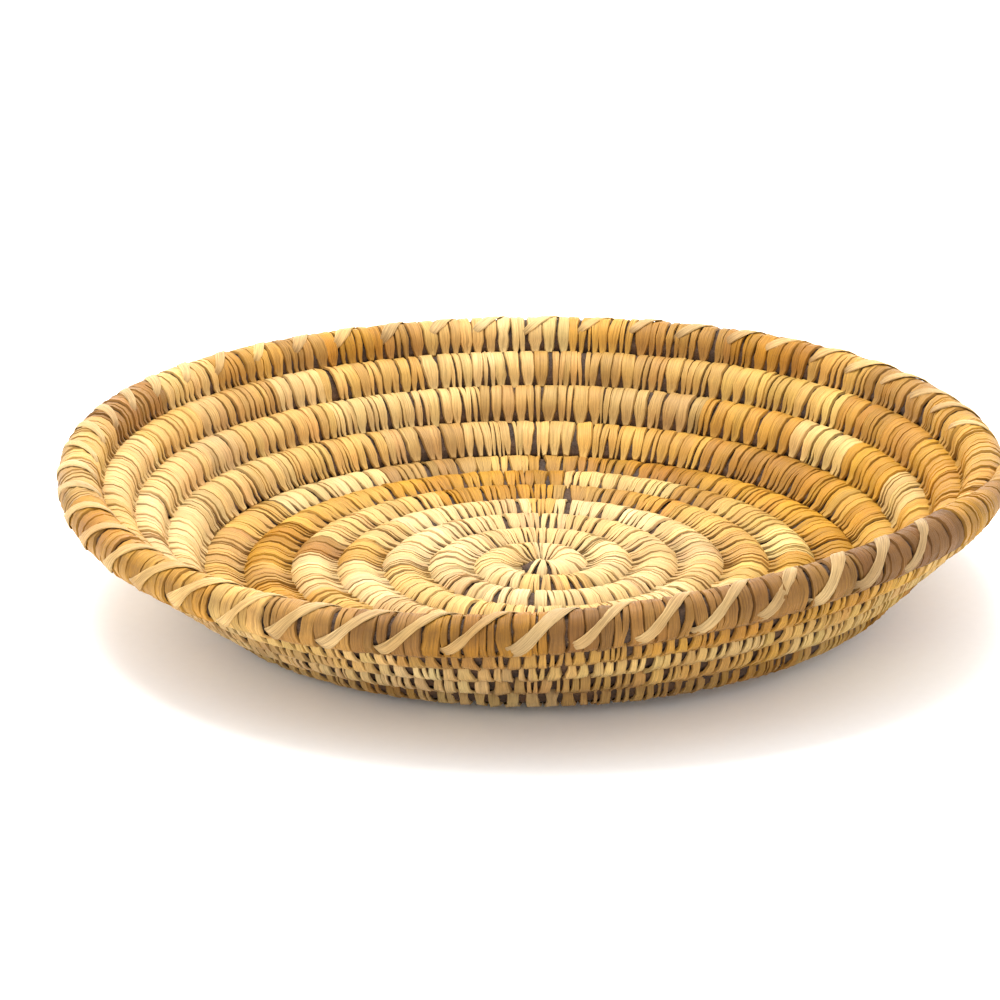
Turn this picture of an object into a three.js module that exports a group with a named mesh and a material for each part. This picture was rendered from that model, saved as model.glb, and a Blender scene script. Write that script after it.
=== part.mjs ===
// A shallow round basket made by coiling: one long bundle of grass is wound outwards from a small
// knot, and flat strips of palm leaf are wrapped round it and stitch each round to the one inside.
// Six rounds lie flat as the base, four climb outwards as the wall and one more makes the rim, which
// is lashed over with slanting strips. +Z is up, and the origin is on the underside, at the centre
// that the coil winds out from. All lengths are in millimetres.
import * as THREE from 'three';

// Driving dimensions of the coil, measured across the rounds.
const START_RADIUS = 8.55;
const BASE_PITCH = 15;
const CORNER_PITCH = 16;
const WALL_PITCH = 13.8;
const CORNER_FROM_TURN = 5.5;
const CORNER_TO_TURN = 7.5;
const BEND_FROM = 99;
const BEND_RADIUS = 23;
const WALL_SLOPE = THREE.MathUtils.degToRad(41.3);

// The rounds, as turns counted from the centre. A whole number of turns lies on +X.
const FIRST_TURN = 0.5;
const BASE_ROUNDS = 6;
const WALL_ROUNDS = 4;
const RIM_TURN = BASE_ROUNDS + WALL_ROUNDS;
const STATIONS_PER_TURN = 24;
const RIM_STATIONS = 22;
const LAST_TURN = RIM_TURN + RIM_STATIONS / STATIONS_PER_TURN;

// How far the hand-made wall strays from a true circle at the rim. It grows from the base upwards.
const STRAY_FROM_TURN = 6;
const STRAY_FULL_TURN = 10.5;
const RIM_TILT = { size: 2.9, towards: THREE.MathUtils.degToRad(47) };
const RIM_SADDLE = { size: 2.6, towards: THREE.MathUtils.degToRad(-22.5) };
const RIM_WAVE = { size: -0.9, towards: 0 };
const RIM_SHIFT = { size: 1, towards: THREE.MathUtils.degToRad(117) };
const RIM_OVAL = { size: 2.6, towards: THREE.MathUtils.degToRad(51.6) };

// Half sizes of the wrapped coil: wide is along the wall's section and deep is through it.
const BASE_COIL = { wide: 7.35, deep: 6.75, sides: 8 };
const WALL_COIL = { wide: 6.45, deep: 6.1, sides: 8 };
const RIM_COIL = { wide: 6.45, deep: 6.6, sides: 12 };
const WRAP_THICKNESS = 1.2;
const GAP = 0.3;
const BUNDLE = { wide: 4.6, deep: 4.4, sides: 6 };
const COIL_HEIGHT = BASE_COIL.deep;

// The knot at the centre fills the space inside the first round, so it has that space's outline.
const KNOT_GAP = 0.45;
const KNOT_ROUNDING = 3;

// The strips that lash the rim.
const LASHING_COUNT = 45;
const LASHING_FROM_TURN = RIM_TURN + 0.03;
const LASHING_TO_TURN = LAST_TURN - 0.03;
const LASHING_WIDTH = 4.6;
const LASHING_THICKNESS = 1;
const LASHING_CLEARANCE = 1;
const LASHING_REACH = THREE.MathUtils.degToRad(105);
const LASHING_ADVANCE = 0.034;
const LASHING_STEPS = 6;

// The tapered end of the coil, sewn down onto the round below it.
const TAIL_LENGTH = 46;
const TAIL_TIP_RADIUS = 2.4;
const TAIL_SIDES = 12;

// Distance from the centre, measured along the base and up the wall, at a number of turns.
function travel(turn) {
  const base = Math.min(turn, CORNER_FROM_TURN) * BASE_PITCH;
  const corner = THREE.MathUtils.clamp(turn, CORNER_FROM_TURN, CORNER_TO_TURN) - CORNER_FROM_TURN;
  const wall = Math.max(turn - CORNER_TO_TURN, 0);
  return START_RADIUS + base + corner * CORNER_PITCH + wall * WALL_PITCH;
}

// Where the coil's centre crosses the upright section at one angle: radius and height.
function sectionPoint(turn, angle) {
  const along = travel(turn);
  const bend = THREE.MathUtils.clamp((along - BEND_FROM) / BEND_RADIUS, 0, WALL_SLOPE);
  const beyond = Math.max(along - BEND_FROM - BEND_RADIUS * WALL_SLOPE, 0);
  const flat = Math.min(along, BEND_FROM);
  const radius = flat + BEND_RADIUS * Math.sin(bend) + beyond * Math.cos(WALL_SLOPE);
  const height = COIL_HEIGHT + BEND_RADIUS * (1 - Math.cos(bend)) + beyond * Math.sin(WALL_SLOPE);
  const stray = Math.max(turn - STRAY_FROM_TURN, 0) / (STRAY_FULL_TURN - STRAY_FROM_TURN);
  const lift = RIM_TILT.size * Math.cos(angle - RIM_TILT.towards)
    + RIM_SADDLE.size * Math.cos(2 * (angle - RIM_SADDLE.towards))
    + RIM_WAVE.size * Math.cos(3 * (angle - RIM_WAVE.towards));
  const spread = RIM_SHIFT.size * Math.cos(angle - RIM_SHIFT.towards)
    + RIM_OVAL.size * Math.cos(2 * (angle - RIM_OVAL.towards));
  return new THREE.Vector2(radius + stray * spread, height + stray * lift);
}

// The coil's centre at a station, with the directions across the rounds and through the wall.
function station(turn) {
  const angle = 2 * Math.PI * turn;
  const nudge = 0.001;
  const point = sectionPoint(turn, angle);
  const slope = sectionPoint(turn + nudge, angle).sub(sectionPoint(turn - nudge, angle)).normalize();
  const outwards = new THREE.Vector3(Math.cos(angle), Math.sin(angle), 0);
  const up = new THREE.Vector3(0, 0, 1);
  return {
    centre: outwards.clone().multiplyScalar(point.x).addScaledVector(up, point.y),
    across: outwards.clone().multiplyScalar(slope.x).addScaledVector(up, slope.y),
    through: outwards.clone().multiplyScalar(slope.y).addScaledVector(up, -slope.x),
  };
}

// The run of the coil between two turns. Its sections stand upright at even angles, so the straight
// stretches between them lie side by side in neighbouring rounds.
class CoilRun extends THREE.Curve {
  constructor(fromTurn, toTurn) {
    super();
    this.fromTurn = fromTurn;
    this.toTurn = toTurn;
  }

  turnAt(t) {
    return THREE.MathUtils.lerp(this.fromTurn, this.toTurn, t);
  }

  getPoint(t, target = new THREE.Vector3()) {
    return target.copy(station(this.turnAt(t)).centre);
  }

  getUtoTmapping(u) {
    return u;
  }

  computeFrenetFrames(segments) {
    const frames = { tangents: [], normals: [], binormals: [] };
    for (let i = 0; i <= segments; i++) {
      const here = station(this.turnAt(i / segments));
      frames.normals.push(here.across);
      frames.binormals.push(here.through);
      frames.tangents.push(here.across.clone().cross(here.through));
    }
    return frames;
  }
}

// An oval outline with flat sides that face across and through the coil.
function coilOutline(size, Outline) {
  const halfSide = Math.PI / size.sides;
  const points = [];
  for (let i = 0; i < size.sides; i++) {
    const angle = (2 * i + 1) * halfSide;
    const x = size.wide * Math.cos(angle) / Math.cos(halfSide);
    const y = size.deep * Math.sin(angle) / Math.cos(halfSide);
    points.push(new THREE.Vector2(x, y));
  }
  return new Outline(points);
}

// The wrapping of one round: a tube round the bundle, open at both ends where the next round joins.
function bindingGeometry(size, fromTurn, toTurn) {
  const run = new CoilRun(fromTurn, toTurn - GAP / (2 * Math.PI * travel(toTurn)));
  const outline = coilOutline(size, THREE.Shape);
  const bore = {
    wide: size.wide - WRAP_THICKNESS,
    deep: size.deep - WRAP_THICKNESS,
    sides: BUNDLE.sides,
  };
  outline.holes.push(coilOutline(bore, THREE.Path));
  const steps = Math.round((toTurn - fromTurn) * STATIONS_PER_TURN);
  return new THREE.ExtrudeGeometry(outline, { steps, extrudePath: run });
}

function bundleGeometry() {
  const steps = Math.round((LAST_TURN - FIRST_TURN) * STATIONS_PER_TURN);
  const extrudePath = new CoilRun(FIRST_TURN, LAST_TURN);
  return new THREE.ExtrudeGeometry(coilOutline(BUNDLE, THREE.Shape), { steps, extrudePath });
}

function knotGeometry() {
  const points = [];
  for (let i = 0; i < STATIONS_PER_TURN; i++) {
    const turn = FIRST_TURN + i / STATIONS_PER_TURN;
    const radius = travel(turn) - BASE_COIL.wide - KNOT_GAP;
    const angle = 2 * Math.PI * turn;
    points.push(new THREE.Vector2(radius * Math.cos(angle), radius * Math.sin(angle)));
  }
  const knot = new THREE.ExtrudeGeometry(new THREE.Shape(points), {
    depth: 2 * COIL_HEIGHT - 2 * KNOT_ROUNDING,
    bevelSize: KNOT_ROUNDING,
    bevelOffset: -KNOT_ROUNDING,
    bevelThickness: KNOT_ROUNDING,
    bevelSegments: 2,
  });
  return knot.translate(0, 0, KNOT_ROUNDING);
}

// One lashing strip: it starts low on the outside of the rim, leans over the top and ends low inside.
class LashingRun extends THREE.Curve {
  constructor(turn) {
    super();
    this.turn = turn;
  }

  frameAt(t) {
    const lean = THREE.MathUtils.lerp(-1, 1, t);
    const turn = this.turn + lean * LASHING_ADVANCE / 2;
    const before = Math.floor(turn * STATIONS_PER_TURN);
    const a = station(before / STATIONS_PER_TURN);
    const b = station((before + 1) / STATIONS_PER_TURN);
    const share = turn * STATIONS_PER_TURN - before;
    const angle = -lean * LASHING_REACH;
    const rise = LASHING_CLEARANCE + LASHING_THICKNESS / 2;
    const across = a.across.lerp(b.across, share);
    const through = a.through.lerp(b.through, share);
    const point = a.centre.lerp(b.centre, share)
      .addScaledVector(across, (RIM_COIL.wide + rise) * Math.cos(angle))
      .addScaledVector(through, (RIM_COIL.deep + rise) * Math.sin(angle));
    const outwards = across.clone().multiplyScalar(Math.cos(angle)).addScaledVector(through, Math.sin(angle));
    return { point, outwards };
  }

  getPoint(t, target = new THREE.Vector3()) {
    return target.copy(this.frameAt(t).point);
  }

  getUtoTmapping(u) {
    return u;
  }

  computeFrenetFrames(segments) {
    const frames = { tangents: [], normals: [], binormals: [] };
    for (let i = 0; i <= segments; i++) {
      const tangent = this.getTangent(i / segments);
      const binormal = tangent.clone().cross(this.frameAt(i / segments).outwards).normalize();
      frames.tangents.push(tangent);
      frames.binormals.push(binormal);
      frames.normals.push(binormal.clone().cross(tangent));
    }
    return frames;
  }
}

function lashingGeometry(turn) {
  const halfThickness = LASHING_THICKNESS / 2;
  const halfWidth = LASHING_WIDTH / 2;
  const outline = new THREE.Shape([
    new THREE.Vector2(-halfThickness, -halfWidth),
    new THREE.Vector2(halfThickness, -halfWidth),
    new THREE.Vector2(halfThickness, halfWidth),
    new THREE.Vector2(-halfThickness, halfWidth),
  ]);
  return new THREE.ExtrudeGeometry(outline, { steps: LASHING_STEPS, extrudePath: new LashingRun(turn) });
}

function tailGeometry() {
  const profile = [
    new THREE.Vector2(0, 0),
    new THREE.Vector2(RIM_COIL.wide, 0),
    new THREE.Vector2(TAIL_TIP_RADIUS, TAIL_LENGTH - TAIL_TIP_RADIUS),
    new THREE.Vector2(TAIL_TIP_RADIUS / 2, TAIL_LENGTH - TAIL_TIP_RADIUS / 4),
    new THREE.Vector2(0, TAIL_LENGTH),
  ];
  return new THREE.LatheGeometry(profile, TAIL_SIDES);
}

// The tail leaves the rim's cut end and leans in until its tip lies against the round below.
function placeTail(tail) {
  const end = station(LAST_TURN);
  const tailTurns = TAIL_LENGTH / (2 * Math.PI * travel(LAST_TURN));
  const past = station(LAST_TURN + tailTurns);
  const tip = past.centre.addScaledVector(past.across, TAIL_TIP_RADIUS - RIM_COIL.wide);
  const direction = tip.sub(end.centre).normalize();
  tail.position.copy(end.centre).addScaledVector(direction, 3 * GAP);
  tail.quaternion.setFromUnitVectors(new THREE.Vector3(0, 1, 0), direction);
}

function leaf(color, roughness = 0.7) {
  return new THREE.MeshStandardMaterial({ color, roughness, metalness: 0 });
}

const LEAF_COLOURS = {
  straw: 0xe6cf98,
  cream: 0xf0e0b8,
  ochre: 0xcf9f55,
  honey: 0xdcb268,
  tan: 0xb8946c,
  lashing: 0xead9b0,
  bundle: 0xa08a5c,
};

function part(name, geometry, material) {
  const mesh = new THREE.Mesh(geometry, material);
  mesh.name = name;
  return mesh;
}

const group = new THREE.Group();

group.add(part('start_knot', knotGeometry(), leaf(LEAF_COLOURS.cream)));
group.add(part('foundation_bundle', bundleGeometry(), leaf(LEAF_COLOURS.bundle, 0.9)));

const baseRounds = new THREE.Group();
for (let round = 1; round <= BASE_ROUNDS; round++) {
  const fromTurn = Math.max(round - 1, FIRST_TURN);
  const colour = round === BASE_ROUNDS ? LEAF_COLOURS.ochre : LEAF_COLOURS.cream;
  const binding = bindingGeometry(BASE_COIL, fromTurn, round);
  baseRounds.add(part(`base_round_${round}_binding`, binding, leaf(colour)));
}
group.add(baseRounds);

const wallRounds = new THREE.Group();
for (let round = 1; round <= WALL_ROUNDS; round++) {
  const fromTurn = BASE_ROUNDS + round - 1;
  const colour = round % 2 ? LEAF_COLOURS.straw : LEAF_COLOURS.honey;
  const binding = bindingGeometry(WALL_COIL, fromTurn, fromTurn + 1);
  wallRounds.add(part(`wall_round_${round}_binding`, binding, leaf(colour)));
}
group.add(wallRounds);

const rim = new THREE.Group();
rim.add(part('rim_round_binding', bindingGeometry(RIM_COIL, RIM_TURN, LAST_TURN), leaf(LEAF_COLOURS.tan)));
for (let i = 0; i < LASHING_COUNT; i++) {
  const turn = THREE.MathUtils.lerp(LASHING_FROM_TURN, LASHING_TO_TURN, i / (LASHING_COUNT - 1));
  const number = String(i + 1).padStart(2, '0');
  rim.add(part(`rim_lashing_${number}`, lashingGeometry(turn), leaf(LEAF_COLOURS.lashing, 0.6)));
}
const tail = part('coil_tail', tailGeometry(), leaf(LEAF_COLOURS.tan));
placeTail(tail);
rim.add(tail);
group.add(rim);

export default group;
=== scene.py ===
import math

import bpy
import numpy as np
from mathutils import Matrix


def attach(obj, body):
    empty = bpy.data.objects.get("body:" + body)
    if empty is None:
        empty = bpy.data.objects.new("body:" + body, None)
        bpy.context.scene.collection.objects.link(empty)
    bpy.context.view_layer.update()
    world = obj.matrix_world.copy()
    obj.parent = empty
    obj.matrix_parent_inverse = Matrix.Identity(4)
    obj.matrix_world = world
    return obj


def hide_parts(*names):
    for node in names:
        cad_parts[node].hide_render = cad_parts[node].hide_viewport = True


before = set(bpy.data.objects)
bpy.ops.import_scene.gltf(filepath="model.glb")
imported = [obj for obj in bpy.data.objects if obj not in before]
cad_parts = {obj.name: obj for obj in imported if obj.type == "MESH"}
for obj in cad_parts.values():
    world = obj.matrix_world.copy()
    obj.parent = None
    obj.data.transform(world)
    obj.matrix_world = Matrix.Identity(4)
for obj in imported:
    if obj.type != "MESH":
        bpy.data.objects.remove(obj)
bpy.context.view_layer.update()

bpy.ops.object.select_all(action="DESELECT")

# ------------------------------------------------------------------------------------------------
# Foundation bundle: one long bundle of dry grass stems, wound outwards as a coil, flat for the base
# and then climbing for the wall. Only the leaf strips wrapped round it hold it, and it shows in gaps.

# A place on the coil is a number of turns, counted anticlockwise from above: 6 is the end of the base,
# 10 is where the rim starts.
MM = 0.001
START_RADIUS = 8.55 * MM
TIGHTEST_RADIUS = 4 * MM
BASE_PITCH = 15 * MM
CORNER_PITCH = 16 * MM
WALL_PITCH = 13.8 * MM
CORNER_FROM, CORNER_TO = 5.5, 7.5
BEND_FROM = 99 * MM
BEND_RADIUS = 23 * MM
WALL_SLOPE = math.radians(41.3)
COIL_HEIGHT = 6.75 * MM
WALL_TURN, RIM_TURN = 6, 10
LAST_TURN = RIM_TURN + 22 / 24
TAIL_TURNS = 0.07
TAIL_TIP = 0.18

# The hand-made wall is neither level nor round: each wave is a size in mm, the side that it is
# highest or widest at in degrees, and how many such sides there are.
STRAY_FROM, STRAY_FULL = 6, 10.5
RIM_LIFTS = ((2.9, 47, 1), (2.6, -22.5, 2), (-0.9, 0, 3))
RIM_SPREADS = ((1, 117, 1), (2.6, 51.6, 2))

# Half of the coil's thickness under its wrapping, in mm: thick in the base, less in the wall.
DEPTH_TURNS = (5.6, 6.4, 9.6, 10.2)
HALF_DEPTHS = (6.15, 5.55, 5.55, 6.2)


def travel(turn):
    """Distance from the centre, measured along the base and up the wall."""
    base = np.minimum(turn, CORNER_FROM) * BASE_PITCH
    corner = (np.clip(turn, CORNER_FROM, CORNER_TO) - CORNER_FROM) * CORNER_PITCH
    return START_RADIUS + base + corner + np.maximum(turn - CORNER_TO, 0) * WALL_PITCH


def girth(turn):
    """The length of one whole turn of the coil at that place."""
    return 2 * math.pi * np.maximum(travel(turn), TIGHTEST_RADIUS)


def waves(angle, sizes):
    return sum(size * MM * np.cos(lobes * (angle - math.radians(towards))) for size, towards, lobes in sizes)


def section_point(turn, angle):
    """Radius and height of the coil's centre where it crosses the upright section at one angle."""
    along = travel(turn)
    bend = np.clip((along - BEND_FROM) / BEND_RADIUS, 0, WALL_SLOPE)
    beyond = np.maximum(along - BEND_FROM - BEND_RADIUS * WALL_SLOPE, 0)
    radius = np.minimum(along, BEND_FROM) + BEND_RADIUS * np.sin(bend) + beyond * math.cos(WALL_SLOPE)
    height = COIL_HEIGHT + BEND_RADIUS * (1 - np.cos(bend)) + beyond * math.sin(WALL_SLOPE)
    stray = np.maximum(turn - STRAY_FROM, 0) / (STRAY_FULL - STRAY_FROM)
    return radius + stray * waves(angle, RIM_SPREADS), height + stray * waves(angle, RIM_LIFTS)


def tail_size(turn):
    """The bundle is thinned out over its last stretch, so that it ends in a taper."""
    return 1 - (1 - TAIL_TIP) * np.clip((turn - LAST_TURN) / TAIL_TURNS, 0, 1)


def coil_frame(turn):
    """The coil's centre, the direction from the round below, the direction to the inside of the
    basket, and the distances to the rounds below and above."""
    angle = 2 * math.pi * turn
    radius, height = section_point(turn, angle)
    below_radius, below_height = section_point(turn - 1, angle)
    above_radius, above_height = section_point(turn + 1, angle)
    across_r, across_z = radius - below_radius, height - below_height
    reach = np.hypot(across_r, across_z)
    across_r, across_z = across_r / reach, across_z / reach
    sink = (1 - tail_size(turn)) * reach / 2
    radius, height = radius - across_r * sink, height - across_z * sink
    reach_above = np.hypot(above_radius - radius, above_height - height)
    cos, sin = np.cos(angle), np.sin(angle)
    centre = np.stack([radius * cos, radius * sin, height], -1)
    across = np.stack([across_r * cos, across_r * sin, across_z], -1)
    inward = np.stack([-across_z * cos, -across_z * sin, across_r], -1)
    return centre, across, inward, reach - sink, reach_above


def coil_depth(turn):
    return np.interp(turn, DEPTH_TURNS, HALF_DEPTHS) * MM * tail_size(turn)


def rings_to_mesh(name, rings, closed_along):
    """A piece from an array of rings (bands, stations, ring, 3): each ring is closed, and the stations
    of a band close into a loop or are capped."""
    bands, stations, around, _ = rings.shape
    spans = stations if closed_along else stations - 1
    k, i, j = np.meshgrid(np.arange(bands), np.arange(spans), np.arange(around), indexing="ij")
    i2, j2 = (i + 1) % stations, (j + 1) % around
    base = k * stations * around
    quads = np.stack([base + i * around + j, base + i2 * around + j,
                      base + i2 * around + j2, base + i * around + j2], -1).reshape(-1, 4)
    faces = quads.tolist()
    if not closed_along:
        first = np.arange(around)
        for band in range(bands):
            start = band * stations * around
            faces.append((start + first).tolist())
            faces.append((start + (stations - 1) * around + first[::-1]).tolist())
    mesh = bpy.data.meshes.new(name)
    mesh.from_pydata(rings.reshape(-1, 3).tolist(), [], faces)
    piece = bpy.data.objects.new(name, mesh)
    bpy.context.scene.collection.objects.link(piece)
    return piece


def smooth(piece, degrees):
    """Shades the piece smooth, with sharp edges kept past that angle."""
    bpy.ops.object.select_all(action="DESELECT")
    bpy.context.view_layer.objects.active = piece
    piece.select_set(True)
    bpy.ops.object.shade_smooth_by_angle(angle=math.radians(degrees))
    piece.select_set(False)


# The bundle's outline is twelve round ribs, which turn slowly along its length. It stays clear of the
# wrapping by these depths, and fills the groove towards the round below, so that no light gets through.
STEMS = 12
STEM_POINTS = 3
STEM_BULGE = 0.35 * MM
STEM_STEP = 5 * MM
STEM_TWIST = 1 / 0.35
STEM_EDGE = 50
WRAP_DEPTH = 0.9 * MM
TOUCHING_DEPTH = -0.7 * MM
UPPER_DEPTH = 0.1 * MM
BUNDLE_FROM = -0.45


def bundle_turns():
    turns = [BUNDLE_FROM]
    while turns[-1] < LAST_TURN + TAIL_TURNS:
        turns.append(turns[-1] + STEM_STEP / girth(turns[-1]))
    return np.array(turns)


def make_bundle():
    """The whole coil of grass as one closed, ribbed shape."""
    turns = bundle_turns()
    centre, across, inward, below, above = coil_frame(turns)
    around = STEMS * STEM_POINTS
    ring = 2 * math.pi * np.arange(around) / around
    length = np.cumsum(2 * math.pi * travel(turns) * np.gradient(turns))
    angle = ring[None, :] + length[:, None] * STEM_TWIST
    ribs = np.abs(np.sin(STEMS * ring / 2))[None, :]
    upper_side = np.cos(angle) > 0
    upper_depth = np.where(turns > LAST_TURN - 1, WRAP_DEPTH, UPPER_DEPTH)[:, None]
    covered = np.where(upper_side, upper_depth, TOUCHING_DEPTH)
    wide = np.where(upper_side, above[:, None], below[:, None]) / 2 * tail_size(turns)[:, None] - covered
    deep = (coil_depth(turns) - WRAP_DEPTH)[:, None]
    bulge = STEM_BULGE * (ribs - 1)
    x = (wide + bulge) * np.cos(angle)
    y = (deep + bulge) * np.sin(angle)
    points = centre[:, None] + across[:, None] * x[..., None] + inward[:, None] * y[..., None]
    return rings_to_mesh("grass_bundle", points[None], False)


def srgb(red, green, blue):
    """A colour given as it looks on a screen, from 0 to 255, in the renderer's linear values."""
    return [((c / 255 + 0.055) / 1.055) ** 2.4 for c in (red, green, blue)]


def noise(tree, vector, scale, detail, roughness=0.5):
    node = tree.nodes.new("ShaderNodeTexNoise")
    node.inputs["Scale"].default_value = scale
    node.inputs["Detail"].default_value = detail
    node.inputs["Roughness"].default_value = roughness
    tree.links.new(vector, node.inputs["Vector"])
    return node.outputs["Fac"]


def remap(tree, value, low, high, to_low, to_high):
    """Eases a value from one range into another, and holds it at the ends."""
    node = tree.nodes.new("ShaderNodeMapRange")
    node.interpolation_type = "SMOOTHSTEP"
    for label, number in (("From Min", low), ("From Max", high), ("To Min", to_low), ("To Max", to_high)):
        node.inputs[label].default_value = number
    tree.links.new(value, node.inputs["Value"])
    return node.outputs["Result"]


def fill(tree, socket, value):
    """Sets a socket to a number or a colour, or links another node's output to it."""
    if isinstance(value, (int, float, tuple)):
        socket.default_value = value
    else:
        tree.links.new(value, socket)


def mix_colour(tree, mode, amount, first, second):
    node = tree.nodes.new("ShaderNodeMix")
    node.data_type = "RGBA"
    node.blend_type = mode
    fill(tree, node.inputs["Factor"], amount)
    fill(tree, node.inputs["A"], first)
    fill(tree, node.inputs["B"], second)
    return node.outputs["Result"]


def principled(name):
    """A new material with its Principled shader."""
    material = bpy.data.materials.new(name)
    material.use_nodes = True
    return material, material.node_tree, material.node_tree.nodes["Principled BSDF"]


def bump(tree, height, distance, strength):
    node = tree.nodes.new("ShaderNodeBump")
    node.inputs["Distance"].default_value = distance
    node.inputs["Strength"].default_value = strength
    tree.links.new(height, node.inputs["Height"])
    return node.outputs["Normal"]


# Very dark grass: its own brown, and partly painted shade for the bundle where it shows in the gaps between
# strips.
GRASS_OLD_IN_SHADE = (*srgb(46, 28, 11), 1)
GRASS_BROWN = (*srgb(78, 50, 21), 1)
GRASS_SHADE = (*srgb(28, 16, 7), 1)


def grass_material():
    """Brown grass stems: fine fibres and patches of darker, older stem, all kept very dark, partly as painted
    shade in the gaps between strips.
    """
    material, tree, shader = principled("dry_grass")
    place = tree.nodes.new("ShaderNodeTexCoord").outputs["Object"]
    fibre = noise(tree, place, 1800, 3, 0.6)
    patch = noise(tree, place, 120, 3, 0.6)
    colour = mix_colour(tree, "MIX", remap(tree, patch, 0.3, 0.7, 0, 1), GRASS_OLD_IN_SHADE, GRASS_BROWN)
    colour = mix_colour(tree, "MIX", remap(tree, fibre, 0.45, 0.7, 0, 0.6), colour, GRASS_SHADE)
    tree.links.new(colour, shader.inputs["Base Color"])
    tree.links.new(remap(tree, fibre, 0.3, 0.7, 0.7, 0.95), shader.inputs["Roughness"])
    tree.links.new(bump(tree, fibre, 0.2 * MM, 0.5), shader.inputs["Normal"])
    return material


bundle = make_bundle()
smooth(bundle, STEM_EDGE)
bundle.data.materials.append(grass_material())
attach(bundle, "root")
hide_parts("foundation_bundle")

# ------------------------------------------------------------------------------------------------
# Start knot: the first turns of split palm leaf at the centre of the base, drawn tight round the
# bent start of the bundle. All later wrapping goes on from here, one stitch after another.

# The space between stitches, in mm, grows from the centre to the rim.
SPACING_TURNS = (0, 1, 3, 6, 7.5, 11)
SPACINGS = (2.6, 3.0, 3.5, 3.8, 3.9, 4.2)
STITCH_FROM, STITCH_TO = -0.32, LAST_TURN + TAIL_TURNS
KNOT_TO = 0.5
TURNS_WITHOUT_NEIGHBOUR = 0.9

# Of a turn of strip, 17 stations are kept: 3 for the tip that goes down into the round below, 12 on
# the coil itself and 2 underneath, where it goes back into that round. Angles start at that round.
LOOP_ANGLES = np.radians([48, 70, 95, 122, 148, 170, 190, 212, 236, 262, 286, 308])
LOOP_BEARINGS = np.concatenate([[0.3, 0.45, 0.65], LOOP_ANGLES, [5.6, 5.8]])
LOOP_BODY = slice(3, 15)
LOOP_WIDTHS = np.array([0.2, 0.44, 0.74, 0.96, 1.03, 1.05, 1.03, 0.98, 0.87,
                        0.73, 0.66, 0.72, 0.86, 0.97, 1.0, 0.96, 0.8])
# Painted shade at each station: darkest where the strip goes into the coil, and in the groove towards the
# round above.
LOOP_PAINTED_SHADE = np.array([0.9, 0.2, 0.3, 0.08, 0, 0, 0, 0.05, 0.35,
                      0.6, 0.4, 0.1, 0, 0, 0.1, 0.35, 0.9])
LOOP_LENGTH = 44
STATION_COUNT = len(LOOP_WIDTHS)

# The strip's own cross-section has bevelled edges.
STRIP_ACROSS = np.array([-0.5, -0.4, 0.4, 0.5])
STRIP_HEIGHT = np.array([-0.9, 1.0, 1.0, -0.9])
STRIP_RISE = 0.42 * MM
STRIP_SINK = 0.5 * MM
STRIP_EDGE = 38
FLOOR_CLEARANCE = 0.05 * MM
# Painted shade along the edges of each strip, for the dark lines between neighbouring strips.
EDGE_PAINTED_SHADE = 0.65

chance = np.random.default_rng(20)


def spacing_at(turn):
    return np.interp(turn, SPACING_TURNS, SPACINGS) * MM


def lay_stitches():
    """Places every stitch along the coil. Each goes between two stitches of the round below, and
    another is added where that would leave them too far apart."""
    turns = [STITCH_FROM]
    while turns[-1] < TURNS_WITHOUT_NEIGHBOUR:
        step = spacing_at(turns[-1]) * chance.uniform(0.9, 1.1)
        turns.append(turns[-1] + step / girth(turns[-1]))
    below = 0
    while turns[below] + 1 < turns[-1] + 0.3 * spacing_at(turns[-1]) / girth(turns[-1]):
        below += 1
    while turns[-1] < STITCH_TO:
        share = 0.5 + chance.uniform(-0.08, 0.08)
        turn = turns[below] * (1 - share) + turns[below + 1] * share + 1
        below += 1
        gap = (turn - turns[-1]) * girth(turn)
        parts = int(round(gap / spacing_at(turn) - 0.12))
        start = turns[-1]
        for i in range(1, max(parts, 1)):
            turns.append(start + (turn - start) * i / parts)
        turns.append(turn)
    return np.array(turns)


# The leaf tones, and up to which turn and how often each is used: pale at the centre, golden where the
# base meets the wall, mixed straw up the wall and browner at the front of the rim, partly as painted shade on
# its front face.
TONES = {
    "cream": srgb(214, 186, 134),
    "straw": srgb(202, 165, 96),
    "honey": srgb(190, 142, 48),
    "ochre": srgb(168, 120, 34),
    "tan": srgb(166, 123, 60),
    "brown": srgb(124, 86, 38),
}
TONE_SHARES = [
    (1.0, (8, 4, 0, 0, 0, 0)),
    (4.0, (8, 5, 1, 0, 0.6, 0)),
    (5.2, (3, 5, 4, 1, 1, 0)),
    (6.2, (0, 2, 7, 4, 1, 0)),
    (7.2, (2, 5, 4, 2, 3, 0.4)),
    (8.4, (3, 6, 4, 1, 2, 0.1)),
    (9.6, (4, 5, 4, 1.5, 2, 0.1)),
    (10.42, (1, 4, 4, 2, 3, 0.2)),
    (10.56, (0, 0.3, 0.6, 1, 6, 4)),
    (10.69, (0, 3, 3, 2, 4, 0.5)),
    # Front of the rim: browner, partly as painted shade on the front face.
    (10.88, (0, 0, 0.4, 2, 4, 7)),
    (99.0, (0.5, 2, 2, 3, 4, 1)),
]
GOLDEN_SIDE = math.radians(15)
GOLDEN_FROM, WALL_LIGHT_FROM, WALL_LIGHT_TO = 3.5, 6, 10.2
GOLDEN_LOSS = np.array([0.10, 0.13, 0.34])
WALL_LIGHT_SHARE = 0.5


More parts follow.
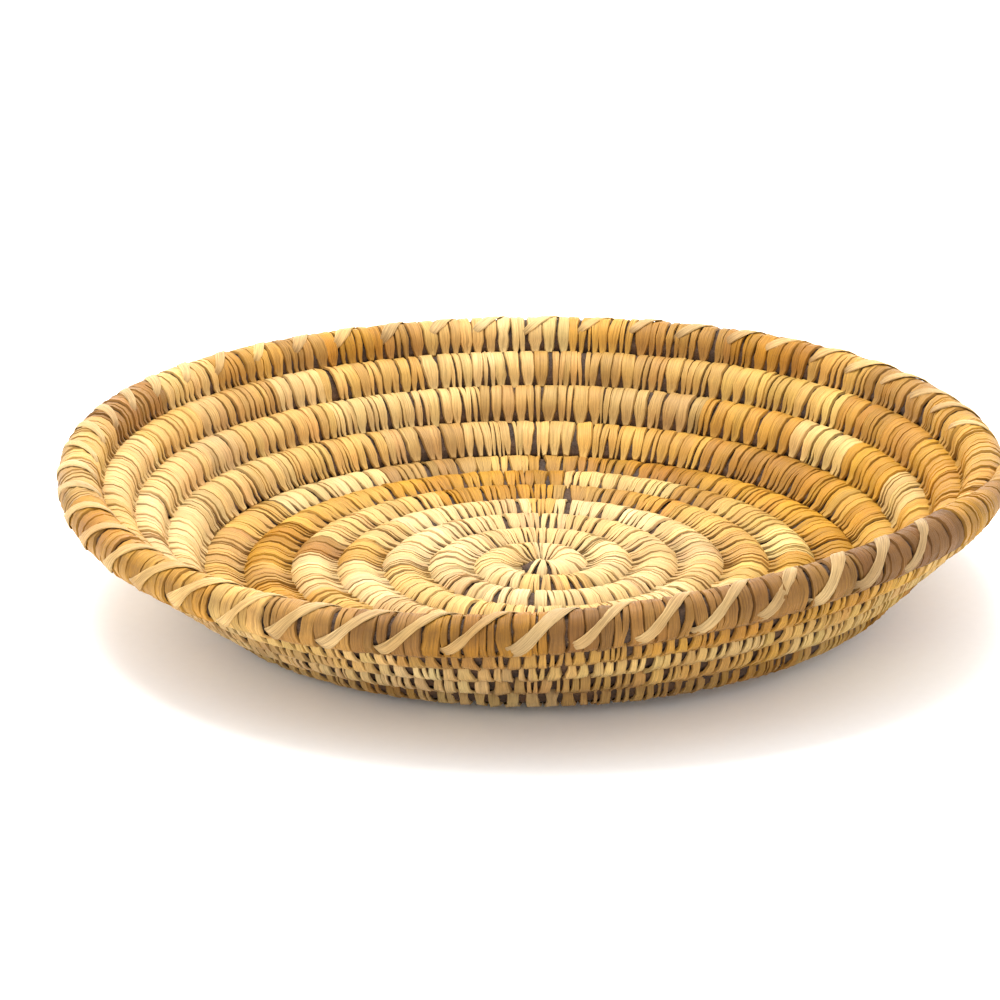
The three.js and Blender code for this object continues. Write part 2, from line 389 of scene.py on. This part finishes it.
def tone_of_leaves(turns):
    """One strip of leaf makes several stitches before the next is let in, so tones come in runs. The
    leaf is more golden on one side of the basket; on the other side the wall is made paler, as painted light
    where that inside wall is lit."""
    tones = np.zeros((len(turns), 3))
    palette = np.array(list(TONES.values()))
    i = 0
    while i < len(turns):
        run = int(chance.integers(3, 11))
        shares = next(np.array(share, float) for limit, share in TONE_SHARES if turns[i] < limit)
        pick = chance.choice(len(palette), p=shares / shares.sum())
        other = chance.choice(len(palette), p=shares / shares.sum())
        blend = chance.uniform(0.1, 0.5)
        tones[i:i + run] = palette[pick] * (1 - blend) + palette[other] * blend
        i += run
    side = 0.5 + 0.5 * np.cos(2 * math.pi * turns - GOLDEN_SIDE)
    golden = side * np.clip(turns - GOLDEN_FROM, 0, 1)
    tones *= 1 - golden[:, None] * GOLDEN_LOSS
    # Painted light: the wall away from the golden side turns paler, as if lit.
    painted_light = WALL_LIGHT_SHARE * (1 - side) * np.clip(turns - WALL_LIGHT_FROM, 0, 1) * np.clip(WALL_LIGHT_TO - turns, 0, 1)
    tones += (palette[0] - tones) * painted_light[:, None]
    return tones * chance.uniform(0.88, 1.07, (len(turns), 1)) * chance.uniform(0.97, 1.03, (len(turns), 3))


STITCH_TURNS = lay_stitches()
STITCH_TONES = tone_of_leaves(STITCH_TURNS)
SPLIT_TURNS, SPLIT_SHARES = (5, 7), (0.5, 0.34)


def split_strips(first, last):
    """The strips of the stitches from first to last: place, width, tone and number. Some leaves have
    split lengthwise into two narrower strands."""
    strips = []
    for i in range(first, last):
        before = STITCH_TURNS[max(i - 1, 0)]
        after = STITCH_TURNS[min(i + 1, len(STITCH_TURNS) - 1)]
        width = (after - before) / 2 * girth(STITCH_TURNS[i])
        splits = chance.uniform() < np.interp(STITCH_TURNS[i], SPLIT_TURNS, SPLIT_SHARES)
        parts = [1.0]
        if splits:
            cut = chance.uniform(0.3, 0.7)
            parts = [cut, 1 - cut]
        start = -0.5
        for part in parts:
            place = STITCH_TURNS[i] + (start + part / 2) * width / girth(STITCH_TURNS[i])
            tone = STITCH_TONES[i] * (chance.uniform(0.94, 1.05) if splits else 1)
            strips.append((place, part * width * (0.95 if splits else 0.99), tone, i))
            start += part
    return strips


def strip_rings(turn, width, profile, parting=None):
    """The rings of vertices of a number of strips, one row a strip. Each strip leans, tilts and
    varies in width a little, and parting says how far it is pushed aside."""
    count = len(turn)
    scale = tail_size(turn)[:, None, None]
    widths = width[:, None] * profile[None] * (1 + chance.normal(0, 0.08, (count, STATION_COUNT)))
    lean = chance.normal(0, 0.4 * MM, (count, 1)) * np.cos(LOOP_BEARINGS)
    lean = lean + chance.normal(0, 0.3 * MM, (count, 1)) * np.sin(LOOP_BEARINGS)
    if parting is not None:
        lean = lean + parting(turn)
    sideways = lean[..., None] + widths[..., None] * STRIP_ACROSS
    turns = turn[:, None, None] + sideways / girth(turn)[:, None, None]
    centre, across, inward, below, above = coil_frame(turns)
    deep = coil_depth(turns)
    thick = STRIP_RISE * (0.75 + 0.25 * np.minimum(width / (3 * MM), 1.5))
    rise = thick[:, None, None] * STRIP_HEIGHT + chance.uniform(-0.1, 0.16, (count, 1, 1)) * MM
    rise = rise + chance.normal(0, 0.17 * MM, (count, 1, 1)) * STRIP_ACROSS * 2

    # On the coil: an oval as wide as half the way to the rounds below and above.
    x, y = np.zeros_like(deep), np.zeros_like(deep)
    angle = LOOP_ANGLES[None, :, None]
    towards_below = np.cos(angle) > 0
    wide = np.where(towards_below, below[:, LOOP_BODY], above[:, LOOP_BODY]) / 2 - STRIP_SINK
    body_rise = rise * scale
    x[:, LOOP_BODY] = -(wide * np.where(towards_below, 1, scale) + body_rise) * np.cos(angle)
    y[:, LOOP_BODY] = (deep[:, LOOP_BODY] + body_rise) * np.sin(angle)

    # The tip: across the groove, over the edge of the round below and down into it.
    half = below[:, 1] / 2
    tip = np.interp(turn, [0, 5.5, 7], [1.7, 1.7, 1.5])[:, None] * MM + chance.normal(0, 0.4 * MM, (count, 1))
    tip = np.minimum(tip, travel(turns[:, 1]) - 0.7 * MM - half)
    lift = rise[:, 0] * scale[:, 0]
    low = np.interp(turn, [5.5, 7], [0, 0.09])[:, None]
    x[:, 2], y[:, 2] = -half + 0.7 * MM, deep[:, 2] * (0.58 - low) + lift
    x[:, 1], y[:, 1] = -half - tip, deep[:, 1] * (0.5 - low) + lift
    x[:, 0], y[:, 0] = -half - tip - 0.8 * MM, deep[:, 0] * (0.12 - low) + lift

    # The other end: underneath, back into the round below.
    end = np.abs(chance.normal(1.6 * MM, 0.4 * MM, (count, 1)))
    x[:, 15], y[:, 15] = -half - end, -deep[:, 15] * 0.64 - lift
    x[:, 16], y[:, 16] = -half - end - 0.8 * MM, -deep[:, 16] * 0.3 - lift
    points = centre + across * x[..., None] + inward * y[..., None]
    points[..., 2] = np.maximum(points[..., 2], FLOOR_CLEARANCE)
    return points


def paint(piece, tones, painted_shade, u, v):
    """Gives the piece its tone, how much painted shade each point gets where the strip goes into the coil, in
    grooves and along its edges, and a map across and along each strip in millimetres."""
    mesh = piece.data
    colours = np.ones((len(mesh.vertices), 4), np.float32)
    colours[:, :3] = tones
    mesh.attributes.new("tone", "FLOAT_COLOR", "POINT").data.foreach_set("color", colours.ravel())
    shade_amount = painted_shade.astype(np.float32).ravel()
    mesh.attributes.new("painted_shade", "FLOAT", "POINT").data.foreach_set("value", shade_amount)
    uv = np.stack([u.ravel(), v.ravel()], -1)
    corner = np.zeros(len(mesh.loops), np.int32)
    mesh.loops.foreach_get("vertex_index", corner)
    mesh.uv_layers.new(name="strip").data.foreach_set("uv", uv[corner].astype(np.float32).ravel())


def paint_strips(piece, strips):
    shape = (len(strips), STATION_COUNT, len(STRIP_ACROSS))
    width = np.array([strip[1] for strip in strips])[:, None, None] / MM
    tones = np.array([strip[2] for strip in strips])[:, None, None]
    number = np.array([strip[3] for strip in strips])[:, None, None]
    # Painted shade: in the grooves, where the strip goes into the coil, and along the strip's edges.
    edges = np.abs(STRIP_ACROSS) > 0.45
    painted_shade = np.clip(LOOP_PAINTED_SHADE[:, None] + EDGE_PAINTED_SHADE * edges, 0, 1)
    lane = number * 7.3
    length = np.linspace(0, LOOP_LENGTH, STATION_COUNT)[:, None]
    u = np.broadcast_to(lane + STRIP_ACROSS * width, shape)
    v = np.broadcast_to(lane * 3.1 + length, shape)
    paint(piece, np.broadcast_to(tones, (*shape, 3)).reshape(-1, 3), np.broadcast_to(painted_shade, shape), u, v)


def new_group(name, inputs, outputs):
    """An empty shader node group with named inputs and outputs."""
    group = bpy.data.node_groups.new(name, "ShaderNodeTree")
    for label, kind, default in inputs:
        socket = group.interface.new_socket(label, in_out="INPUT", socket_type=kind)
        socket.default_value = default
    for label, kind in outputs:
        group.interface.new_socket(label, in_out="OUTPUT", socket_type=kind)
    return group, group.nodes.new("NodeGroupInput"), group.nodes.new("NodeGroupOutput")


def stretched(tree, vector, scale):
    node = tree.nodes.new("ShaderNodeMapping")
    node.inputs["Scale"].default_value = scale
    tree.links.new(vector, node.inputs["Vector"])
    return node.outputs["Vector"]


def maths(tree, operation, first, second):
    node = tree.nodes.new("ShaderNodeMath")
    node.operation = operation
    fill(tree, node.inputs[0], first)
    fill(tree, node.inputs[1], second)
    return node.outputs["Value"]


LEAF_WARM = (0.70, 0.46, 0.18, 1)
LEAF_PALER = (1.55, 1.5, 1.4, 1)
LEAF_FRECKLE = (0.17, 0.07, 0.03, 1)
# The dark brown of the painted shade where strips go into the coil, in grooves and along edges.
LEAF_PAINTED_SHADE = (0.10, 0.045, 0.015, 1)


def leaf_group():
    """Dry leaf: fine veins along the strip, soft mottling, slow drifts of tone, brown freckles, and painted
    shade in dark brown where the strip goes down into the coil, in the grooves and along its edges."""
    inputs = [("Tone", "NodeSocketColor", (0.6, 0.4, 0.2, 1)), ("Painted Shade", "NodeSocketFloat", 0.0),
              ("Vein Depth", "NodeSocketFloat", 0.5), ("Freckles", "NodeSocketFloat", 0.5)]
    outputs = [("Colour", "NodeSocketColor"), ("Roughness", "NodeSocketFloat"), ("Height", "NodeSocketFloat")]
    group, given, result = new_group("dry_leaf", inputs, outputs)
    links = group.links
    tone = given.outputs["Tone"]
    strip = group.nodes.new("ShaderNodeUVMap")
    strip.uv_map = "strip"
    place = group.nodes.new("ShaderNodeTexCoord").outputs["Object"]
    veins = noise(group, stretched(group, strip.outputs["UV"], (3.4, 0.06, 1)), 1, 3, 0.6)
    fibres = noise(group, stretched(group, strip.outputs["UV"], (7.5, 0.25, 1)), 1, 2, 0.6)
    mottle = noise(group, stretched(group, strip.outputs["UV"], (0.5, 0.2, 1)), 1, 3, 0.55)
    drift = noise(group, place, 55, 2)
    freckle = noise(group, stretched(group, strip.outputs["UV"], (1.3, 0.8, 1)), 1, 2, 0.5)

    warmer = mix_colour(group, "MIX", remap(group, mottle, 0.35, 0.7, 0, 0.55), tone, LEAF_WARM)
    toned = mix_colour(group, "MULTIPLY", 0.55, tone, warmer)
    colour = mix_colour(group, "MIX", remap(group, drift, 0.3, 0.7, 0.15, 0.75), tone, toned)
    dark_vein = remap(group, veins, 0.34, 0.62, 0.52, 1.12)
    shade = group.nodes.new("ShaderNodeCombineColor")
    for socket in shade.inputs:
        links.new(dark_vein, socket)
    colour = mix_colour(group, "MULTIPLY", given.outputs["Vein Depth"], colour, shade.outputs["Color"])
    lighter = mix_colour(group, "MULTIPLY", 1.0, colour, LEAF_PALER)
    colour = mix_colour(group, "MIX", remap(group, fibres, 0.5, 0.8, 0, 0.7), colour, lighter)
    spot = maths(group, "MULTIPLY", remap(group, freckle, 0.68, 0.8, 0, 1), given.outputs["Freckles"])
    colour = mix_colour(group, "MIX", spot, colour, LEAF_FRECKLE)
    # Painted shade, made patchy by the mottling: darker brown where the strip goes into the coil, in grooves
    # and along edges.
    shade_mix = maths(group, "MULTIPLY", given.outputs["Painted Shade"], remap(group, mottle, 0.3, 0.7, 0.9, 0.6))
    colour = mix_colour(group, "MIX", shade_mix, colour, LEAF_PAINTED_SHADE)
    links.new(colour, result.inputs["Colour"])

    rough = remap(group, veins, 0.3, 0.7, 0.62, 0.44)
    links.new(maths(group, "ADD", rough, maths(group, "MULTIPLY", spot, 0.2)), result.inputs["Roughness"])
    ribs = maths(group, "ADD", veins, maths(group, "MULTIPLY", fibres, 0.35))
    links.new(maths(group, "ADD", ribs, maths(group, "MULTIPLY", mottle, 0.8)), result.inputs["Height"])
    return group


LEAF = leaf_group()
LEAF_SHINE = 0.16
LEAF_RELIEF = 0.2 * MM


def leaf_material(name, vein_depth, freckles):
    """Palm leaf in the tone that each strip carries."""
    material, tree, shader = principled(name)
    leaf = tree.nodes.new("ShaderNodeGroup")
    leaf.node_tree = LEAF
    tone = tree.nodes.new("ShaderNodeAttribute")
    tone.attribute_name = "tone"
    painted_shade = tree.nodes.new("ShaderNodeAttribute")
    painted_shade.attribute_name = "painted_shade"
    tree.links.new(tone.outputs["Color"], leaf.inputs["Tone"])
    tree.links.new(painted_shade.outputs["Fac"], leaf.inputs["Painted Shade"])
    leaf.inputs["Vein Depth"].default_value = vein_depth
    leaf.inputs["Freckles"].default_value = freckles
    tree.links.new(leaf.outputs["Colour"], shader.inputs["Base Color"])
    tree.links.new(leaf.outputs["Roughness"], shader.inputs["Roughness"])
    tree.links.new(bump(tree, leaf.outputs["Height"], LEAF_RELIEF, 0.65), shader.inputs["Normal"])
    shader.inputs["Specular IOR Level"].default_value = LEAF_SHINE
    return material


def wrap(name, node, from_turn, to_turn, leaf, profile=LOOP_WIDTHS, parting=None):
    """The strips of one stretch of the coil, as one piece in place of its CAD node."""
    first, last = np.searchsorted(STITCH_TURNS, [from_turn, to_turn])
    strips = split_strips(int(first), int(last))
    turn = np.array([strip[0] for strip in strips])
    width = np.array([strip[1] for strip in strips])
    piece = rings_to_mesh(name, strip_rings(turn, width, profile, parting), True)
    paint_strips(piece, strips)
    piece.data.materials.append(leaf)
    smooth(piece, STRIP_EDGE)
    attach(piece, "root")
    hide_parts(node)


knot_leaf = leaf_material("knot_leaf", 0.7, 0.35)
wrap("start_knot_wrapping", "start_knot", STITCH_FROM, KNOT_TO, knot_leaf)

# ------------------------------------------------------------------------------------------------
# Base: six flat rounds of narrow strips of split palm leaf wound round the bundle. Each turn of strip
# passes through the round inside it, between two of its strips, which is what holds the coil together.

base_leaf = leaf_material("base_leaf", 0.8, 0.5)
for number in range(1, WALL_TURN + 1):
    piece_name, node = f"base_round_{number}_wrapping", f"base_round_{number}_binding"
    wrap(piece_name, node, max(number - 1, KNOT_TO), number, base_leaf)

# ------------------------------------------------------------------------------------------------
# Wall: the same wrapping, a little wider, on the four rounds that climb outwards. Each round is
# stitched to the one below in the same way, and has no other support.

wall_leaf = leaf_material("wall_leaf", 0.75, 0.7)
for number in range(1, RIM_TURN - WALL_TURN + 1):
    piece_name, node = f"wall_round_{number}_wrapping", f"wall_round_{number}_binding"
    start = WALL_TURN + number - 1
    wrap(piece_name, node, start, start + 1, wall_leaf)

# ------------------------------------------------------------------------------------------------
# Rim: the last round, wrapped with browner leaf that keeps its full width on the outside. Its strips
# are pushed aside, leaving a small hole low on the outside, wherever a lashing goes through.

LASHING_COUNT = 45
LASHING_TURNS = np.linspace(RIM_TURN + 0.03, LAST_TURN - 0.03, LASHING_COUNT)
LASHING_ADVANCE = 0.027
LASHING_HOLE = math.radians(256)
HOLE_PUSH = 1.3 * MM
HOLE_REACH = 3.2 * MM
HOLE_SPREAD = 0.5
RIM_MIDDLE = 10.5
RIM_WIDTHS = np.array([0.2, 0.44, 0.74, 0.96, 1.02, 1.03, 1.02, 1.0, 1.0,
                       1.0, 1.0, 1.02, 1.02, 1.0, 0.97, 0.9, 0.8])


def part_at_lashings(turn):
    """How far the strips are pushed sideways at each station by the lashing nearest to them."""
    holes = LASHING_TURNS - LASHING_ADVANCE / 2
    offset = (turn[:, None] - holes[None]) * girth(RIM_MIDDLE)
    nearest = np.take_along_axis(offset, np.abs(offset).argmin(1)[:, None], 1)
    push = np.sign(nearest) * HOLE_PUSH * np.exp(-(nearest / HOLE_REACH) ** 2)
    return push * np.exp(-((LOOP_BEARINGS - LASHING_HOLE) / HOLE_SPREAD) ** 2)[None]


rim_leaf = leaf_material("rim_leaf", 0.8, 0.9)
wrap("rim_wrapping", "rim_round_binding", RIM_TURN, LAST_TURN, rim_leaf, RIM_WIDTHS,
     part_at_lashings)

# ------------------------------------------------------------------------------------------------
# Coil tail: the thinned end of the coil, wrapped with the same leaf as the rim and sewn down flat on
# the round below, so that the rim ends in a taper.

wrap("coil_tail_wrapping", "coil_tail", LAST_TURN, STITCH_TO, rim_leaf, RIM_WIDTHS)

# ------------------------------------------------------------------------------------------------
# Rim lashings: pale strips that go over the finished rim on a slant, from a hole low on the outside
# to one low on the inside. Each is a flat strip pulled tight, narrowed where it goes in.

# Sixteen stations from the outside to the inside: how far round, how far off the rim, how wide.
LASH_RUN = np.array([-0.03, 0, 0.05, 0.11, 0.18, 0.26, 0.34, 0.42,
                     0.5, 0.58, 0.66, 0.74, 0.82, 0.89, 0.95, 1])
LASH_LIFTS = np.array([-1.6, -0.1, 0.4, 0.45, 0.4, 0.4, 0.4, 0.4,
                       0.4, 0.4, 0.4, 0.4, 0.4, 0.3, -0.2, -1.6]) * MM
LASH_WIDTHS = np.array([0.9, 1.12, 1.15, 1.05, 0.92, 0.8, 0.74, 0.78,
                        0.95, 0.98, 0.98, 0.93, 0.84, 0.7, 0.5, 0.36])
LASH_SECTION = np.array([(-0.5, 0), (-0.42, 1), (0.0, 1.25), (0.42, 1), (0.5, 0), (0.0, -1)])
LASH_WIDTH = 4.0 * MM
LASH_RISE = 0.32 * MM
LASH_SINK = 0.45 * MM
LASH_EDGE = 40


def unit(vectors):
    return vectors / np.linalg.norm(vectors, axis=1)[:, None]


def lashing(number, middle):
    """One strip over the rim, as a closed band with blunt ends, in a pale tone that takes up some of
    the tone beside it."""
    lean = np.linspace(-1, 1, len(LASH_RUN)) * chance.uniform(0.8, 1.1)
    turns = middle + lean * LASHING_ADVANCE / 2
    angles = chance.uniform(234, 264) * (1 - LASH_RUN) + chance.uniform(58, 68) * LASH_RUN
    angles = np.radians(angles)
    width = LASH_WIDTH * chance.uniform(0.8, 1.25) * LASH_WIDTHS * (1 + chance.normal(0, 0.05, len(turns)))
    lift = LASH_LIFTS + chance.uniform(-0.1, 0.3) * MM
    centre, across, inward, below, above = coil_frame(turns)
    wide = np.where(np.cos(angles) > 0, below, above) / 2 - LASH_SINK
    out = -across * np.cos(angles)[:, None] + inward * np.sin(angles)[:, None]
    x = -(wide + lift) * np.cos(angles)
    y = (coil_depth(turns) + lift) * np.sin(angles)
    path = centre + across * x[:, None] + inward * y[:, None]
    along = unit(np.gradient(path, axis=0))
    side = unit(np.cross(out, along))
    face = np.cross(along, side)
    offset, height = LASH_SECTION[:, 0], LASH_SECTION[:, 1]
    rings = (path[:, None] + side[:, None] * (width[:, None] * offset)[..., None]
             + face[:, None] * (LASH_RISE * height)[None, :, None])
    piece = rings_to_mesh(f"rim_lashing_{number:02d}_strip", rings[None], False)

    beside = STITCH_TONES[np.searchsorted(STITCH_TURNS, middle)]
    tone = beside * 0.45 + np.array(TONES["cream"]) * chance.uniform(0.38, 0.52)
    # Painted shade at both ends, where the lashing goes into its holes.
    painted_shade = np.interp(np.arange(len(path)), [0, 2, 12, 15], [0.6, 0, 0, 0.9])
    steps = np.linalg.norm(np.diff(path, axis=0), axis=1)
    length = np.concatenate([[0], np.cumsum(steps)]) / MM
    u = number * 9.7 + width[:, None] / MM * offset
    v = number * 31.0 + length[:, None] + np.zeros((1, len(offset)))
    paint(piece, tone, np.repeat(painted_shade[:, None], len(offset), 1), u, v)
    return piece


lashing_leaf = leaf_material("lashing_leaf", 0.8, 0.3)
for index, middle in enumerate(LASHING_TURNS):
    strip = lashing(index + 1, middle)
    strip.data.materials.append(lashing_leaf)
    smooth(strip, LASH_EDGE)
    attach(strip, "root")
    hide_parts(f"rim_lashing_{index + 1:02d}")

# ------------------------------------------------------------------------------------------------
# Floor, light and camera: a plain white studio floor, a wide soft light overhead and a little
# behind, a white tent all round, and a long lens that looks down on the basket from the front.

FLOOR_SIZE = 12
FLOOR_BEHIND = 2
FLOOR_WHITES = ((0.90, 0.90, 0.90, 1), (0.93, 0.93, 0.93, 1))

bpy.ops.mesh.primitive_plane_add(size=FLOOR_SIZE, location=(0, FLOOR_BEHIND, 0))
floor = bpy.context.active_object
floor.name = "studio_floor"
floor_paper, tree, shader = principled("white_paper")
grain = noise(tree, tree.nodes.new("ShaderNodeTexCoord").outputs["Object"], 300, 3)
tree.links.new(mix_colour(tree, "MIX", grain, *FLOOR_WHITES), shader.inputs["Base Color"])
shader.inputs["Roughness"].default_value = 0.9
shader.inputs["Specular IOR Level"].default_value = 0.1
floor.data.materials.append(floor_paper)

# The overhead light faces the origin.
LIGHT_PLACE = (-0.2, 0.35, 1.7)
LIGHT_SIZE = 1.1
LIGHT_POWER = 42

light = bpy.data.lights.new("overhead_light", "AREA")
light.shape = "SQUARE"
light.size = LIGHT_SIZE
light.energy = LIGHT_POWER
lamp = bpy.data.objects.new("overhead_light", light)
bpy.context.scene.collection.objects.link(lamp)
lamp.location = LIGHT_PLACE
lamp_x, lamp_y, lamp_z = LIGHT_PLACE
lamp.rotation_euler = (math.atan2(math.hypot(lamp_x, lamp_y), lamp_z), 0, math.atan2(lamp_x, -lamp_y))

# The tent glows by direction: dark just above the floor, brightest low down, dimmer in front.
TENT_DARK, TENT_LOW, TENT_TOP = 0.3, 4.5, 1.8
TENT_FRONT = 0.52

world = bpy.data.worlds.new("studio")
world.use_nodes = True
tent = world.node_tree
direction = tent.nodes.new("ShaderNodeSeparateXYZ")
tent.links.new(tent.nodes.new("ShaderNodeTexCoord").outputs["Generated"], direction.inputs["Vector"])
from_floor = remap(tent, direction.outputs["Z"], 0.02, 0.16, TENT_DARK, TENT_LOW)
to_top = remap(tent, direction.outputs["Z"], 0.16, 0.5, TENT_LOW, TENT_TOP)
front = remap(tent, direction.outputs["Y"], -0.85, 0.0, TENT_FRONT, 1.0)
glow = maths(tent, "MULTIPLY", maths(tent, "MINIMUM", from_floor, to_top), front)
tent.links.new(glow, tent.nodes["Background"].inputs["Strength"])
tent.nodes["Background"].inputs["Color"].default_value = (1, 1, 1, 1)
bpy.context.scene.world = world
bpy.context.scene.view_settings.view_transform = "Standard"

VIEW_TILT = math.radians(18.88)
VIEW_DISTANCE = 1.8
VIEW_SIDE = -13.8 * MM
VIEW_RISE = 24.6 * MM
LENS = 196.6
NEAREST = 0.05

lens = bpy.data.cameras.new("camera")
lens.lens = LENS
lens.clip_start = NEAREST
camera = bpy.data.objects.new("camera", lens)
bpy.context.scene.collection.objects.link(camera)
camera.location = (VIEW_SIDE,
                   -VIEW_DISTANCE * math.cos(VIEW_TILT) + VIEW_RISE * math.sin(VIEW_TILT),
                   VIEW_DISTANCE * math.sin(VIEW_TILT) + VIEW_RISE * math.cos(VIEW_TILT) + COIL_HEIGHT)
camera.rotation_euler = (math.pi / 2 - VIEW_TILT, 0, 0)
bpy.context.scene.camera = camera
